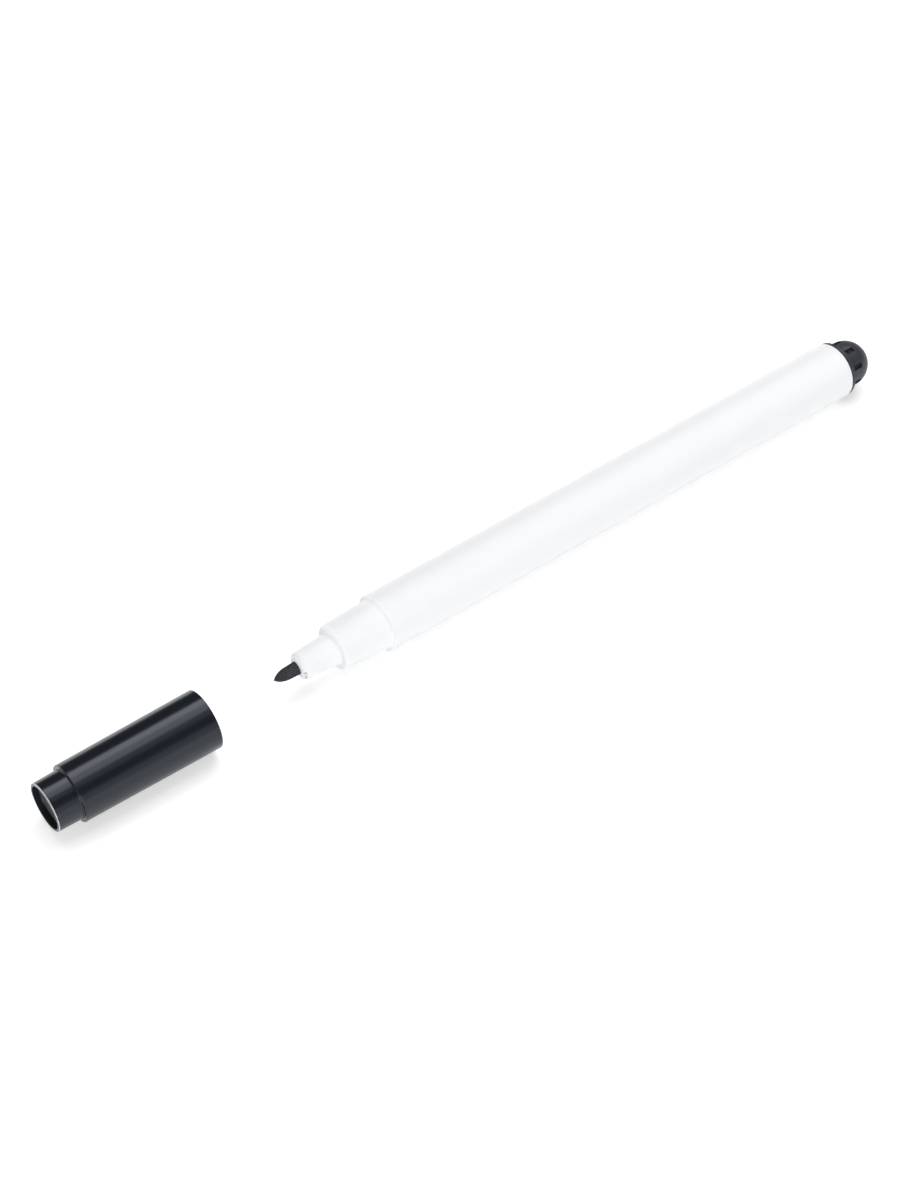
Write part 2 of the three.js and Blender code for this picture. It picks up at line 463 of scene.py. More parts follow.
def inked_fibre(name, dark, dry, streak):
    """Fibre that runs along the marker. The streak is the width of one tuft in millimetres."""
    made, tree, place = new_material(name)
    along = add(tree, "ShaderNodeMapping", {"Vector": place, "Scale": FIBRE_STRETCH})
    strands = add(
        tree,
        "ShaderNodeTexNoise",
        {"Vector": along.outputs["Vector"], "Scale": per_metre(streak), "Detail": 5},
    )
    grain = add(
        tree,
        "ShaderNodeTexNoise",
        {"Vector": place, "Scale": per_metre(streak), "Detail": 3, "Roughness": 0.7},
    )
    share = add(
        tree,
        "ShaderNodeMapRange",
        {"Value": strands.outputs["Fac"], "From Min": 0.35, "From Max": 0.75},
    )
    tint = add(
        tree,
        "ShaderNodeMix",
        {0: share.outputs["Result"], 6: linear(dark), 7: linear(dry)},
        data_type="RGBA",
    )
    height = compute(tree, "ADD", strands.outputs["Fac"], grain.outputs["Fac"])
    relief = add(
        tree,
        "ShaderNodeBump",
        {"Height": height, "Strength": 0.6, "Distance": streak * TUFT_RELIEF * MM},
    )
    fibre = add(
        tree,
        "ShaderNodeBsdfPrincipled",
        {
            "Base Color": tint.outputs[2],
            "Roughness": 0.9,
            "Normal": relief.outputs["Normal"],
            "Sheen Weight": 0.15,
            "Sheen Roughness": 0.4,
        },
    )
    surface(tree, fibre)
    return made


nib_fibre = inked_fibre("inked_acrylic_fibre", dark="#1a1b21", dry="#484a53", streak=0.12)
core_fibre = inked_fibre("inked_polyester_fibre", dark="#22242a", dry="#4b4e57", streak=0.3)
print("materials:", nib_fibre.name, core_fibre.name)

# %% Film
FILM_TINT = "#e4e8ea"
FILM_IOR = 1.57
CREASE_SIZE = 2
CREASE_DEPTH = 0.05


def clear_film():
    made, tree, place = new_material("clear_polyester_film")
    crease = add(
        tree,
        "ShaderNodeTexNoise",
        {"Vector": place, "Scale": per_metre(CREASE_SIZE), "Detail": 2},
    )
    relief = add(
        tree,
        "ShaderNodeBump",
        {"Height": crease.outputs["Fac"], "Strength": 0.3, "Distance": CREASE_DEPTH * MM},
    )
    film = add(
        tree,
        "ShaderNodeBsdfPrincipled",
        {
            "Base Color": linear(FILM_TINT),
            "Roughness": 0.15,
            "Normal": relief.outputs["Normal"],
            "IOR": FILM_IOR,
            "Transmission Weight": 0.8,
        },
    )
    surface(tree, film)
    return made


film = clear_film()
print("material:", film.name)

# %% [markdown]
# ## The barrel
#
# One white moulding: a long tube that widens towards the tail, a square shoulder where the cap
# stops, a seat for the cap, and the nozzle. The profile is walked from the collar at the front,
# over the outside to the tail, and back through the bore. The shoulder and the steps have small
# rounds, because a mould can't make a knife edge and because a round is what catches the light.

# %% Barrel sizes
SEAT_LENGTH = 9.05
NOZZLE_LENGTH = 6.48
COLLAR_HEIGHT = 0.5
FRONT_RADIUS = to_flat(5.065)
SEAT_BASE = to_flat(4.395)
SEAT_FRONT = to_flat(4.115)
NOZZLE_BASE = to_flat(2.77)
NOZZLE_FRONT = to_flat(2.53)
LIP_RADIUS = to_flat(2.31)
LIP_GROOVE = 0.16
GROOVE_FOOT = 0.9
GROOVE_TOP = 0.4
CROWN_LENGTH = 1.15
BORE_RADIUS = to_flat(4.015)
CHAMBER_RADIUS = to_flat(3.115)
NIB_ROOM_AROUND = 0.04
NIB_BORE = nib_radius + NIB_ROOM_AROUND
HOLDER_LENGTH = 1.0
BORE_STEP = 1.15

nozzle_front = collar_front + COLLAR_HEIGHT
seat_front = nozzle_front + NOZZLE_LENGTH
shoulder = seat_front + SEAT_LENGTH
print("shoulder at %.2f mm" % shoulder)

# %% Barrel profile
SHOULDER_ROUND = 0.15
SHOULDER_FILLET = 0.3
SEAT_ROUND = 0.6
NOZZLE_FILLET = 0.4
TAIL_ROUND = 0.1


def collar(steps=10):
    """The pale face round the nib, swelling from the lip to the nib's bore."""
    outer = LIP_RADIUS - LIP_GROOVE
    points = []
    for i in range(steps + 1):
        angle = pi / 2 * (1 - i / steps)
        station = nozzle_front - COLLAR_HEIGHT * sin(angle)
        points.append((station, NIB_BORE + (outer - NIB_BORE) * cos(angle)))
    return points


def crown(steps=8):
    """The last stretch of the nozzle, which curves in to the lip."""
    points = []
    for i in range(steps + 1):
        share = 1 - i / steps
        radius = NOZZLE_FRONT - (NOZZLE_FRONT - LIP_RADIUS) * share * share
        points.append((nozzle_front + CROWN_LENGTH * (1 - share), radius))
    return points


def rounded(station, radius, size, steps=8):
    """The round on an outer edge whose face looks towards the nib."""
    return arc(station + size, radius - size, size, 180, 90, steps)


def fillet(station, radius, size, steps=8):
    """The fillet where a tube meets a face that looks towards the nib."""
    return arc(station - size, radius + size, size, -90, 0, steps)


def barrel_profile():
    bore_step = shoulder + BORE_STEP
    holder = seat_front + HOLDER_LENGTH
    groove = nozzle_front + LIP_GROOVE
    outside = [
        *collar(),
        (groove, LIP_RADIUS - GROOVE_FOOT * LIP_GROOVE),
        (groove, LIP_RADIUS - GROOVE_TOP * LIP_GROOVE),
        *crown(),
        *fillet(seat_front, NOZZLE_BASE, NOZZLE_FILLET),
        *rounded(seat_front, SEAT_FRONT, SEAT_ROUND, steps=12),
        *fillet(shoulder, SEAT_BASE, SHOULDER_FILLET),
        *rounded(shoulder, FRONT_RADIUS, SHOULDER_ROUND),
        *arc(tail_face - TAIL_ROUND, tail_radius - TAIL_ROUND, TAIL_ROUND, 90, 0),
    ]
    inside = [
        *arc(tail_face - TAIL_ROUND, BORE_RADIUS + TAIL_ROUND, TAIL_ROUND, 0, -90),
        (bore_step, BORE_RADIUS),
        (bore_step, CHAMBER_RADIUS),
        (holder + CHAMBER_RADIUS - NIB_BORE, CHAMBER_RADIUS),
        (holder, NIB_BORE),
    ]
    return outside + inside


barrel = turned("barrel_moulding", barrel_profile())
print("barrel faces:", len(barrel.data.polygons))

# %% [markdown]
# ## The air vent
#
# As ink leaves the store, air has to come in. On the real nose a slot runs back from the lip and
# shows as a small dark notch, with a flat on the collar below it. Both are cuts, so a Boolean
# modifier is the right tool. All meshes are closed, so the quick Manifold solver can do it. The
# cutters' edges are rounded first. The modifier is then applied, which leaves a plain mesh.

# %% Vent groove
VENT_WIDTH = 0.4
VENT_DEPTH = 0.35
VENT_ANGLE = 80
VENT_LENGTH = 10.4
VENT_LEAD = 1.0
FLAT_WIDTH = 1.5
FLAT_DEPTH = 0.08
FLAT_ANGLE = 106
CUTTER_ROUND = 0.05


def apply_modifiers(piece):
    """Turns a piece and its modifiers into one plain mesh."""
    graph = bpy.context.evaluated_depsgraph_get()
    plain = bpy.data.meshes.new_from_object(piece.evaluated_get(graph))
    piece.modifiers.clear()
    piece.data = plain
    return piece


def key_block(name, front, length, inner, outer, width, angle):
    """A block that lies along the axis at a radius, turned from +Z towards -Y."""
    mesh = bmesh.new()
    bmesh.ops.create_cube(mesh, size=1)
    turn = radians(angle)
    for vert in mesh.verts:
        station = front + length * (vert.co.x + 0.5)
        across = width * vert.co.y
        radius = inner + (outer - inner) * (vert.co.z + 0.5)
        y = across * cos(turn) - radius * sin(turn)
        z = AXIS_HEIGHT + across * sin(turn) + radius * cos(turn)
        vert.co = Vector((station, y, z)) * MM
    bmesh.ops.bevel(
        mesh,
        geom=mesh.edges,
        offset=CUTTER_ROUND * MM,
        segments=3,
        affect="EDGES",
        clamp_overlap=True,
    )
    return finished(name, mesh)


def cut_away(piece, cutter):
    """Cuts the cutter's shape from a piece."""
    cut = piece.modifiers.new(cutter.name, "BOOLEAN")
    cut.operation = "DIFFERENCE"
    cut.solver = "MANIFOLD"
    cut.object = cutter
    apply_modifiers(piece)
    bpy.data.objects.remove(cutter)


print("vent: %.2f mm wide and %.2f mm deep" % (VENT_WIDTH, VENT_DEPTH))

# %% Cut the vent and the flat
vent_top = LIP_RADIUS - LIP_GROOVE
vent_foot = vent_top - VENT_DEPTH
flat_foot = vent_top - FLAT_DEPTH
cutter_start = collar_front - VENT_LEAD
vent = key_block(
    "vent_cutter",
    front=cutter_start,
    length=VENT_LENGTH,
    inner=vent_foot,
    outer=vent_top,
    width=VENT_WIDTH,
    angle=VENT_ANGLE,
)
collar_flat = key_block(
    "flat_cutter",
    front=cutter_start,
    length=nozzle_front - cutter_start,
    inner=flat_foot,
    outer=vent_top + FLAT_DEPTH,
    width=FLAT_WIDTH,
    angle=FLAT_ANGLE,
)
cut_away(barrel, vent)
cut_away(barrel, collar_flat)
barrel.data.set_sharp_from_angle(angle=SHARP)
barrel.data.materials.clear()
barrel.data.materials.append(white_plastic)
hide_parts("barrel")
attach(barrel, "pen")
print("barrel faces after the cut:", len(barrel.data.polygons))

# %% [markdown]
# ## Geometry Nodes helpers
#
# Each tree below has named inputs, so a reader can open it in Blender and try other numbers. An
# input is set through its socket's identifier, because names may repeat. The result is baked to a
# plain mesh at the end, since an exporter keeps meshes and drops instances.

# %% Build, set and bake a node tree


def new_tree(name, inputs):
    """A Geometry Nodes tree with a geometry in and out, and these named inputs."""
    tree = bpy.data.node_groups.new(name, "GeometryNodeTree")
    tree.is_modifier = True
    tree.interface.new_socket("Geometry", in_out="INPUT", socket_type="NodeSocketGeometry")
    tree.interface.new_socket("Geometry", in_out="OUTPUT", socket_type="NodeSocketGeometry")
    for label, value in inputs.items():
        kind = "NodeSocketInt" if isinstance(value, int) else "NodeSocketFloat"
        socket = tree.interface.new_socket(label, in_out="INPUT", socket_type=kind)
        socket.default_value = value
    return tree, tree.nodes.new("NodeGroupInput").outputs


def bake_tree(piece, tree, inputs, finish):
    """Ends the tree, runs it on the piece with these inputs, and keeps the resulting mesh."""
    last = tree.nodes[-1].outputs[0]
    real = add(tree, "GeometryNodeRealizeInstances", {"Geometry": last})
    dressed = add(
        tree,
        "GeometryNodeSetMaterial",
        {"Geometry": real.outputs[0], "Material": finish},
    )
    add(tree, "NodeGroupOutput", {"Geometry": dressed.outputs[0]})
    modifier = piece.modifiers.new(tree.name, "NODES")
    modifier.node_group = tree
    for item in tree.interface.items_tree:
        if item.in_out == "INPUT" and item.name in inputs:
            modifier[item.identifier] = inputs[item.name]
    apply_modifiers(piece)
    piece.data.name = piece.name
    return piece


print("pieces so far:", barrel.name)

# %% [markdown]
# ## Ribs inside the barrel
#
# Four ribs keep the ink store off the wall, so that air can pass along it. They are alike and stand
# in a ring, which is what instancing is for: one bar on each point of a circle, turned to face the
# axis. The plug's flutes need such a ring too, so `bar_ring` makes it from a tree's inputs. The
# ribs' tree starts from an empty mesh and makes everything itself. Half a rib's height more is sunk
# in the wall, so that no gap shows behind a flat bar on a round wall.

# %% Ribs
RIB_COUNT = 4
RIB_HEIGHT = 0.4
RIB_SUNK = RIB_HEIGHT / 2
RIB_WIDTH = 0.8
RIB_ANGLE = 45


def bar_ring(tree, given):
    """Bars along X on the points of a circle about the axis, as instances."""
    bar_size = add(
        tree,
        "ShaderNodeCombineXYZ",
        {0: given["Length"], 1: given["Width"], 2: given["Height"]},
    )
    bar = add(tree, "GeometryNodeMeshCube", {"Size": bar_size.outputs[0]})
    ring = add(tree, "GeometryNodeMeshLine", {"Count": given["Count"]}, mode="OFFSET")
    ring.inputs["Offset"].default_value = (0, 0, 0)
    index = add(tree, "GeometryNodeInputIndex").outputs[0]
    step = compute(tree, "DIVIDE", 2 * pi, given["Count"])
    angle = compute(tree, "MULTIPLY_ADD", index, step, given["First Angle"])
    across = compute(tree, "MULTIPLY", compute(tree, "SINE", angle), given["Radius"])
    up = compute(tree, "MULTIPLY", compute(tree, "COSINE", angle), given["Radius"])
    place = add(
        tree,
        "ShaderNodeCombineXYZ",
        {
            0: given["Middle"],
            1: compute(tree, "MULTIPLY", across, -1.0),
            2: compute(tree, "ADD", up, given["Axis Height"]),
        },
    )
    points = add(
        tree,
        "GeometryNodeSetPosition",
        {"Geometry": ring.outputs[0], "Position": place.outputs[0]},
    )
    turn = add(tree, "ShaderNodeCombineXYZ", {0: angle})
    facing = add(tree, "FunctionNodeEulerToRotation", {0: turn.outputs[0]})
    return add(
        tree,
        "GeometryNodeInstanceOnPoints",
        {"Points": points.outputs[0], "Instance": bar.outputs[0], "Rotation": facing.outputs[0]},
    )


def rib_tree(sizes):
    tree, given = new_tree("barrel_ribs", sizes)
    bar_ring(tree, given)
    return tree


print("ribs: %d, each %.1f mm high" % (RIB_COUNT, RIB_HEIGHT))

# %% Make the ribs
rib_front = shoulder + BORE_STEP
rib_bar = RIB_HEIGHT + RIB_SUNK
rib_sizes = {
    "Count": RIB_COUNT,
    "Length": (wrap_back - rib_front) * MM,
    "Width": RIB_WIDTH * MM,
    "Height": rib_bar * MM,
    "Radius": (BORE_RADIUS - RIB_HEIGHT + rib_bar / 2) * MM,
    "Middle": (wrap_back + rib_front) / 2 * MM,
    "First Angle": radians(RIB_ANGLE),
    "Axis Height": AXIS_HEIGHT * MM,
}
ribs = finished("barrel_ribs", bmesh.new())
bake_tree(ribs, rib_tree(rib_sizes), rib_sizes, white_plastic)
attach(ribs, "pen")
print("rib faces:", len(ribs.data.polygons))

# %% [markdown]
# ## The nib
#
# The nib is a rod that narrows a little outside the collar and ends in a bullet tip. A higher power
# of the sine makes the bullet more pointed than half an ellipse. The tip is the part that
# everyone looks at, so it also gets real fibres: fine strands that lie along the felt, tilted a
# little and half sunk in it. Points are scattered over the tip with a fixed seed, and each
# takes one strand.

# %% Nib rod
BULLET_LENGTH = 2.7
BULLET_POWER = 1.5
NIB_TAPER = 0.08
TIP_STEPS = 40
NIB_AROUND = 96


def nib_profile():
    points = []
    for i in range(TIP_STEPS + 1):
        angle = pi / 2 * i / TIP_STEPS
        station = nib_tip + BULLET_LENGTH * (1 - cos(angle))
        points.append((station, (nib_radius - NIB_TAPER) * sin(angle) ** BULLET_POWER))
    return points + [(collar_front, nib_radius), (nib_back, nib_radius), (nib_back, 0)]


nib = turned("nib_rod", nib_profile(), NIB_AROUND)
nib.data.materials.append(nib_fibre)
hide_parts("nib")
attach(nib, "pen")
print("nib faces:", len(nib.data.polygons))

# %% [markdown]
# ## Strands on the felt
#
# The strands follow the surface. Each is aligned twice: its length along the marker, and its
# back away from the felt. Four sides are enough for a strand this thin.

# %% Nib strands
STRAND_LENGTH = 0.55
STRAND_WIDTH = 0.035
STRANDS_PER_MM2 = 26
STRAND_TILT = 0.16
STRAND_TIP = 0.2
STRAND_SHORTEST = 0.6
STRAND_LONGEST = 1.2
STRAND_POINTS = 4
STRAND_SIDES = 4
STRAND_SEED = 7


def strand_tree(sizes):
    tree, given = new_tree("nib_strands", sizes)
    spot = add(
        tree,
        "GeometryNodeDistributePointsOnFaces",
        {"Mesh": given["Geometry"], "Density": given["Density"], "Seed": given["Seed"]},
    )
    line = add(
        tree,
        "GeometryNodeCurvePrimitiveLine",
        {"Start": (-0.5, 0, 0), "End": (0.5, 0, 0)},
    )
    bend = add(
        tree,
        "GeometryNodeResampleCurve",
        {"Curve": line.outputs[0], "Count": STRAND_POINTS},
    )
    share = add(tree, "GeometryNodeSplineParameter").outputs["Factor"]
    swell = compute(tree, "SINE", compute(tree, "MULTIPLY", share, pi))
    thickness = compute(tree, "MULTIPLY_ADD", swell, 1 - STRAND_TIP, STRAND_TIP)
    thick = add(
        tree,
        "GeometryNodeSetCurveRadius",
        {"Curve": bend.outputs[0], "Radius": thickness},
    )
    slimness = compute(tree, "DIVIDE", given["Width"], given["Length"])
    section = add(
        tree,
        "GeometryNodeCurvePrimitiveCircle",
        {"Resolution": STRAND_SIDES, "Radius": slimness},
    )
    strand = add(
        tree,
        "GeometryNodeCurveToMesh",
        {
            "Curve": thick.outputs[0],
            "Profile Curve": section.outputs[0],
            "Scale": add(tree, "GeometryNodeInputRadius").outputs[0],
            "Fill Caps": True,
        },
    )
    wobble = add(
        tree,
        "FunctionNodeRandomValue",
        {
            "Min": (1, -STRAND_TILT, -STRAND_TILT),
            "Max": (1, STRAND_TILT, STRAND_TILT),
            "Seed": given["Seed"],
        },
        data_type="FLOAT_VECTOR",
    )
    lying = add(
        tree,
        "FunctionNodeAlignRotationToVector",
        {"Rotation": spot.outputs["Rotation"], "Vector": wobble.outputs[0]},
        axis="X",
        pivot_axis="Z",
    )
    size = add(
        tree,
        "FunctionNodeRandomValue",
        {2: STRAND_SHORTEST, 3: STRAND_LONGEST, "Seed": given["Seed"]},
        data_type="FLOAT",
    )
    add(
        tree,
        "GeometryNodeInstanceOnPoints",
        {
            "Points": spot.outputs["Points"],
            "Instance": strand.outputs[0],
            "Rotation": lying.outputs[0],
            "Scale": compute(tree, "MULTIPLY", size.outputs[1], given["Length"]),
        },
    )
    return tree


print("strands: %d on a square millimetre" % STRANDS_PER_MM2)

# %% Scatter the strands
FELT_GAP = 0.05
FELT_AROUND = 48

felt_end = collar_front - FELT_GAP
felt = [point for point in nib_profile() if point[0] < felt_end]
strands = turned("nib_strands", felt + [(felt_end, nib_radius)], FELT_AROUND)
strand_sizes = {
    "Length": STRAND_LENGTH * MM,
    "Width": STRAND_WIDTH * MM,
    "Density": STRANDS_PER_MM2 / MM**2,
    "Seed": STRAND_SEED,
}
bake_tree(strands, strand_tree(strand_sizes), strand_sizes, nib_fibre)
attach(strands, "pen")
print("strand faces:", len(strands.data.polygons))

# %% [markdown]
# ## The tail plug
#
# One black moulding: a hollow stem that seals the bore, a thin flange, and a domed knob that the
# cap can be pushed over. Eight short flutes stand round the knob, and their floors are painted dark
# as shade. Geometry Nodes cut them: the same ring of bars as for the ribs, and a Mesh Boolean node
# that takes it away from the moulding. Sizes and count are inputs.

# %% Plug profile
STEM_WALL = 0.9
FLANGE_THICKNESS = 0.85
KNOB_RADIUS = to_flat(4.335)
PRESS_ROOM = 0.04
STEM_CHAMFER = 0.3
FLANGE_EDGE = 0.1
FLANGE_ROUND = 0.2
KNOB_FILLET = 0.12

knob_base = tail_face + FLANGE_THICKNESS
dome_centre = knob_end - KNOB_RADIUS


def plug_profile():
    stem = BORE_RADIUS - PRESS_ROOM
    hollow = stem - STEM_WALL
    flange_front = tail_face + PRESS_ROOM
    return [
        *arc(dome_centre, 0, hollow, 0, 90, steps=20),
        (stem_front, hollow),
        (stem_front, stem - STEM_CHAMFER),
        (stem_front + STEM_CHAMFER, stem),
        (flange_front, stem),
        *arc(flange_front + FLANGE_EDGE, flange_radius - FLANGE_EDGE, FLANGE_EDGE, 180, 90, 5),
        *arc(knob_base - FLANGE_ROUND, flange_radius - FLANGE_ROUND, FLANGE_ROUND, 90, 0),
        *arc(knob_base + KNOB_FILLET, KNOB_RADIUS + KNOB_FILLET, KNOB_FILLET, 180, 270, 5),
        *arc(dome_centre, 0, KNOB_RADIUS, 90, 0, steps=48),
    ]


plug = turned("tail_plug_moulding", plug_profile())
print("plug faces before the flutes:", len(plug.data.polygons))

# %% Flutes
FLUTE_COUNT = 8
FLUTE_WIDTH = 0.95
FLUTE_DEPTH = 0.4
FLUTE_START = 0.75
FLUTE_LENGTH = 1.9
FLUTE_ANGLE = 15
FLUTE_RIM = 0.1

flute_floor = KNOB_RADIUS - FLUTE_DEPTH
flute_back = knob_base + FLUTE_START + FLUTE_LENGTH


def flute_tree(sizes):
    tree, given = new_tree("knob_flutes", sizes)
    bars = bar_ring(tree, given)
    real = add(tree, "GeometryNodeRealizeInstances", {"Geometry": bars.outputs[0]})
    add(
        tree,
        "GeometryNodeMeshBoolean",
        {"Mesh 1": given["Geometry"], "Mesh 2": real.outputs[0]},
        operation="DIFFERENCE",
        solver="MANIFOLD",
    )
    return tree


print("flutes: %d, each %.2f mm wide" % (FLUTE_COUNT, FLUTE_WIDTH))

# %% Cut the flutes
flute_sizes = {
    "Count": FLUTE_COUNT,
    "Length": FLUTE_LENGTH * MM,
    "Width": FLUTE_WIDTH * MM,
    "Height": 2 * FLUTE_DEPTH * MM,
    "Radius": KNOB_RADIUS * MM,
    "Middle": (knob_base + FLUTE_START + FLUTE_LENGTH / 2) * MM,
    "First Angle": radians(FLUTE_ANGLE),
    "Axis Height": AXIS_HEIGHT * MM,
}
bake_tree(plug, flute_tree(flute_sizes), flute_sizes, plug_plastic)
plug.data.set_sharp_from_angle(angle=SHARP)


def in_a_flute(x, r):
    """True on the floor of a flute, which is painted dark as shade."""
    return knob_base < x < flute_back + FLUTE_RIM and abs(r - flute_floor) < FLUTE_RIM


# The flute floors take the painted shade.
mark(plug, "dust_and_shade", in_a_flute)
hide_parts("tail_plug")
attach(plug, "pen")
print("plug faces:", len(plug.data.polygons))

# %% [markdown]
# ## The cap
#
# One glossy black moulding. Its mouth is widest, it tapers to a step, and a narrower tube goes on
# to an open end with a shallow recess. Inside, a sleeve seals round the nozzle. The rim and the
# step have tiny rounds that catch a thin bright line, which is how the eye reads the wall's
# thickness. On the end rim's outer round that line is also painted into the colour, as a highlight.

# %% Cap
CAP_LENGTH = 24.65
CAP_STEP_RADIUS = to_flat(4.975)
END_BASE_RADIUS = to_flat(4.315)
END_RADIUS = to_flat(4.245)
RECESS_RADIUS = to_flat(3.745)
RECESS_DEPTH = 1.2
CAP_FLOOR = 1.1
SLIDE_ROOM = 0.08
CAP_BORE = SEAT_BASE + SLIDE_ROOM
SLEEVE_BORE = NOZZLE_BASE + SLIDE_ROOM
SLEEVE_WALL = 0.6
POCKET_RADIUS = to_flat(4.225)
POCKET_FLOOR = 1.2
SEATED_GAP = 0.3
SEAT_DEPTH = SEAT_LENGTH - SEATED_GAP
BORE_CONE = 0.7
SLEEVE_DEPTH = SEAT_DEPTH + BORE_CONE
MOUTH_LEAD = 0.2
SLEEVE_LEAD = 0.25
SLEEVE_EDGE = 0.15
INNER_CORNER = 0.2
STEP_FILLET = 0.1
EDGE = 0.11
RIM_ROUND = 0.16
HIGHLIGHT_WIDTH = 0.08
RIM_INSIDE = 0.03


def cap_profile():
    step = cap_mouth - CAP_LENGTH
    pocket = step + POCKET_FLOOR
    sleeve = cap_mouth - SLEEVE_DEPTH
    sleeve_outside = SLEEVE_BORE + SLEEVE_WALL
    floor = cap_end + RECESS_DEPTH
    return [
        (floor, 0),
        *arc(floor - INNER_CORNER, RECESS_RADIUS - INNER_CORNER, INNER_CORNER, 0, 90, 6),
        *arc(cap_end + RIM_INSIDE, RECESS_RADIUS + RIM_INSIDE, RIM_INSIDE, 270, 180, 4),
        *arc(cap_end + RIM_ROUND, END_RADIUS - RIM_ROUND, RIM_ROUND, 180, 90),
        *arc(step - STEP_FILLET, END_BASE_RADIUS + STEP_FILLET, STEP_FILLET, -90, 0, 5),
        *arc(step + EDGE, CAP_STEP_RADIUS - EDGE, EDGE, 180, 90, 6),
        *arc(cap_mouth - EDGE, cap_mouth_radius - EDGE, EDGE, 90, 0, 6),
        *arc(cap_mouth - MOUTH_LEAD, CAP_BORE + MOUTH_LEAD, MOUTH_LEAD, 0, -90, 6),
        (cap_mouth - SEAT_DEPTH, CAP_BORE),
        (sleeve, POCKET_RADIUS),
        (pocket, POCKET_RADIUS),
        (pocket, sleeve_outside),
        *arc(sleeve - SLEEVE_EDGE, sleeve_outside - SLEEVE_EDGE, SLEEVE_EDGE, 90, 0, 4),
        *arc(sleeve - SLEEVE_LEAD, SLEEVE_BORE + SLEEVE_LEAD, SLEEVE_LEAD, 0, -90, 6),
        (floor + CAP_FLOOR, SLEEVE_BORE),
        (floor + CAP_FLOOR, 0),
    ]


print("cap: %.2f mm from its mouth to the step" % CAP_LENGTH)

# %% Turn the cap, and mark its painted rim highlight and its dusty recess floor


def on_the_rim(x, r):
    """True on the outer half of the rim's round, which is painted pale as a highlight."""
    return x < cap_end + RIM_ROUND and r > END_RADIUS - HIGHLIGHT_WIDTH


def on_the_floor(x, r):
    """True on the floor of the recess, where dust settles."""
    return abs(x - cap_end - RECESS_DEPTH) < SUPPORT


cap = turned("cap_moulding", cap_profile())
cap.data.set_sharp_from_angle(angle=SHARP)
# The rim's outer round takes the painted highlight.
mark(cap, "painted_highlight", on_the_rim)
mark(cap, "dust_and_shade", on_the_floor)
cap.data.materials.append(cap_plastic)
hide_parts("cap")
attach(cap, "cap")
print("cap faces:", len(cap.data.polygons))

# %% [markdown]
# ## The ink store
#
# The store is sealed inside the barrel. It is a bundle of polyester fibres with a slight crimp, in
# a sleeve of film. A hexagonal grid gives the tightest bundle of round tufts. Tufts in the way of
# the nib start behind it, because the nib is pressed into the bundle's front.

# %% Fibre bundle
TUFT_WIDTH = 0.5
TUFT_CRIMP = 0.04
CRIMP_LENGTH = 6.0
NIB_ROOM = 0.35
NIB_BACK_ROOM = 0.3
TUFT_POINTS = 48
TUFT_SIDES = 6


def bundle_tree(sizes):
    tree, given = new_tree("fibre_bundle", sizes)
    line = add(tree, "GeometryNodeCurvePrimitiveLine", {"Start": (0, 0, 0), "End": (1, 0, 0)})
    bend = add(
        tree,
        "GeometryNodeResampleCurve",
        {"Curve": line.outputs[0], "Count": TUFT_POINTS},
    )
    share = add(tree, "GeometryNodeSplineParameter").outputs["Factor"]
    phase = compute(tree, "MULTIPLY", share, given["Crimp Waves"])
    wave = add(
        tree,
        "ShaderNodeCombineXYZ",
        {
            1: compute(tree, "MULTIPLY", compute(tree, "SINE", phase), given["Crimp"]),
            2: compute(tree, "MULTIPLY", compute(tree, "COSINE", phase), given["Crimp"]),
        },
    )
    crimped = add(
        tree,
        "GeometryNodeSetPosition",
        {"Geometry": bend.outputs[0], "Offset": wave.outputs[0]},
    )
    tuft_radius = compute(tree, "MULTIPLY", given["Tuft Width"], 0.5)
    section = add(
        tree,
        "GeometryNodeCurvePrimitiveCircle",
        {"Resolution": TUFT_SIDES, "Radius": tuft_radius},
    )
    tuft = add(
        tree,
        "GeometryNodeCurveToMesh",
        {"Curve": crimped.outputs[0], "Profile Curve": section.outputs[0], "Fill Caps": True},
    )
    spot = add(
        tree,
        "ShaderNodeSeparateXYZ",
        {0: add(tree, "GeometryNodeInputPosition").outputs[0]},
    ).outputs
    up = compute(tree, "SUBTRACT", spot["Z"], given["Axis Height"])
    up_squared = compute(tree, "MULTIPLY", up, up)
    side_squared = compute(tree, "MULTIPLY", spot["Y"], spot["Y"])
    from_axis = compute(tree, "SQRT", compute(tree, "ADD", up_squared, side_squared))
    blocked = compute(tree, "LESS_THAN", from_axis, given["Nib Room"])
    setback = compute(tree, "MULTIPLY", blocked, given["Nib Depth"])
    start = add(tree, "ShaderNodeCombineXYZ", {0: setback})
    shifted = add(
        tree,
        "GeometryNodeSetPosition",
        {"Geometry": given["Geometry"], "Offset": start.outputs[0]},
    )
    length = compute(tree, "SUBTRACT", given["Length"], setback)
    stored = add(
        tree,
        "GeometryNodeStoreNamedAttribute",
        {"Geometry": shifted.outputs[0], "Name": "tuft_length", "Value": length},
        data_type="FLOAT",
        domain="POINT",
    )
    named = add(tree, "GeometryNodeInputNamedAttribute", {"Name": "tuft_length"})
    stretch = add(tree, "ShaderNodeCombineXYZ", {0: named.outputs[0], 1: 1.0, 2: 1.0})
    add(
        tree,
        "GeometryNodeInstanceOnPoints",
        {"Points": stored.outputs[0], "Instance": tuft.outputs[0], "Scale": stretch.outputs[0]},
    )
    return tree


print("tufts: %.1f mm thick" % TUFT_WIDTH)

# %% Place the tufts and grow the bundle


def tuft_places():
    """One vertex at the front of each tuft, on a hexagonal grid inside the sleeve."""
    mesh = bmesh.new()
    room = core_radius - TUFT_WIDTH / 2 - TUFT_CRIMP
    rows = int(room / TUFT_WIDTH) + 2
    for row in range(-rows, rows + 1):
        for column in range(-rows, rows + 1):
            y = TUFT_WIDTH * (column + 0.5 * (row % 2))
            z = TUFT_WIDTH * row * 3**0.5 / 2
            if y * y + z * z < room * room:
                mesh.verts.new(Vector((core_front, y, AXIS_HEIGHT + z)) * MM)
    return finished("reservoir_fibres", mesh)


